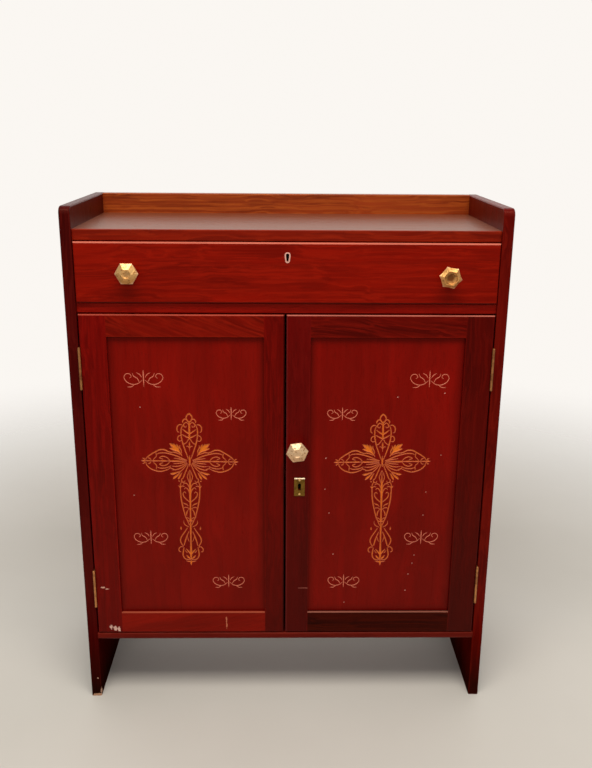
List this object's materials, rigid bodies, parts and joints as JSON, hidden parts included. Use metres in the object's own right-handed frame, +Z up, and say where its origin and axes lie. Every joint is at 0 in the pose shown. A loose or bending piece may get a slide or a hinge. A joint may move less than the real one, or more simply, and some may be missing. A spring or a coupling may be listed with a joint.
{
  "type": "cupboard",
  "caption": "Floor-standing wooden cupboard with a locking drawer above hinged framed doors, an inner shelf and a low gallery around the top.",
  "frame": {"origin": "on the floor, under the middle of the box that holds the whole piece with its knobs", "axes": "+Z up, +X to the right as one faces the front, +Y towards the back"},
  "size_m": [0.72, 0.311, 0.896],
  "materials": {
    "stained_wood": "gloss varnish",
    "plain_softwood": "planed, bare",
    "plywood": "sanded, bare",
    "brass": "worn polish",
    "steel": "dull"
  },
  "bodies": {
    "carcass": {"left_side": "stained_wood", "right_side": "stained_wood", "top_board": "stained_wood", "gallery_rail": "stained_wood", "drawer_divider": "stained_wood", "bottom_board": "stained_wood", "back_panel": "plywood", "shelf": "stained_wood", "left_drawer_runner": "plain_softwood", "right_drawer_runner": "plain_softwood", "left_shelf_cleat": "plain_softwood", "right_shelf_cleat": "plain_softwood", "drawer_stops": "plain_softwood", "door_stops": "plain_softwood", "back_panel_pins": "steel", "carcass_screws": "steel", "left_upper_hinge_side_leaf": "brass", "left_lower_hinge_side_leaf": "brass", "right_upper_hinge_side_leaf": "brass", "right_lower_hinge_side_leaf": "brass", "hinge_pins": "brass", "hinge_side_screws": "brass"},
    "drawer": {"drawer_front": "stained_wood", "drawer_left_side": "plain_softwood", "drawer_right_side": "plain_softwood", "drawer_back": "plain_softwood", "drawer_bottom": "plywood", "drawer_left_knob": "brass", "drawer_right_knob": "brass", "drawer_knob_screws": "steel", "drawer_keyhole_liner": "brass", "drawer_lock_case": "steel", "drawer_lock_screws": "steel"},
    "left_door": {"left_door_hinge_stile": "stained_wood", "left_door_meeting_stile": "stained_wood", "left_door_top_rail": "stained_wood", "left_door_bottom_rail": "stained_wood", "left_door_panel": "stained_wood", "left_upper_hinge_door_leaf": "brass", "left_lower_hinge_door_leaf": "brass", "strike_plate": "brass", "left_door_screws": "brass", "slide_bolt_case": "brass"},
    "right_door": {"right_door_hinge_stile": "stained_wood", "right_door_meeting_stile": "stained_wood", "right_door_top_rail": "stained_wood", "right_door_bottom_rail": "stained_wood", "right_door_panel": "stained_wood", "right_upper_hinge_door_leaf": "brass", "right_lower_hinge_door_leaf": "brass", "door_knob": "brass", "door_knob_screw": "steel", "door_lock_plate": "brass", "door_lock_plate_pins": "brass", "door_lock_case": "steel", "right_door_screws": "brass"},
    "drawer_lock_bolt": {"drawer_lock_bolt": "brass"},
    "door_lock_bolt": {"door_lock_bolt": "brass"},
    "slide_bolt": {"slide_bolt": "brass"}
  },
  "joints": [
    {"name": "drawer_slide", "type": "slide", "parent": "carcass", "child": "drawer", "axis": [0, -1, 0], "range_m": [0, 0.19]},
    {"name": "left_door_hinge", "type": "hinge", "parent": "carcass", "child": "left_door", "pos_m": [-0.341, -0.1309, 0.43], "axis": [0, 0, -1], "range_deg": [0, 170]},
    {"name": "right_door_hinge", "type": "hinge", "parent": "carcass", "child": "right_door", "pos_m": [0.341, -0.1309, 0.43], "axis": [0, 0, 1], "range_deg": [0, 170]},
    {"name": "drawer_lock_bolt_slide", "type": "slide", "parent": "drawer", "child": "drawer_lock_bolt", "axis": [0, 0, 1], "range_m": [0, 0.006]},
    {"name": "door_lock_bolt_slide", "type": "slide", "parent": "right_door", "child": "door_lock_bolt", "axis": [-1, 0, 0], "range_m": [0, 0.007]},
    {"name": "slide_bolt_slide", "type": "slide", "parent": "left_door", "child": "slide_bolt", "axis": [0, 0, 1], "range_m": [0, 0.008]}
  ]
}
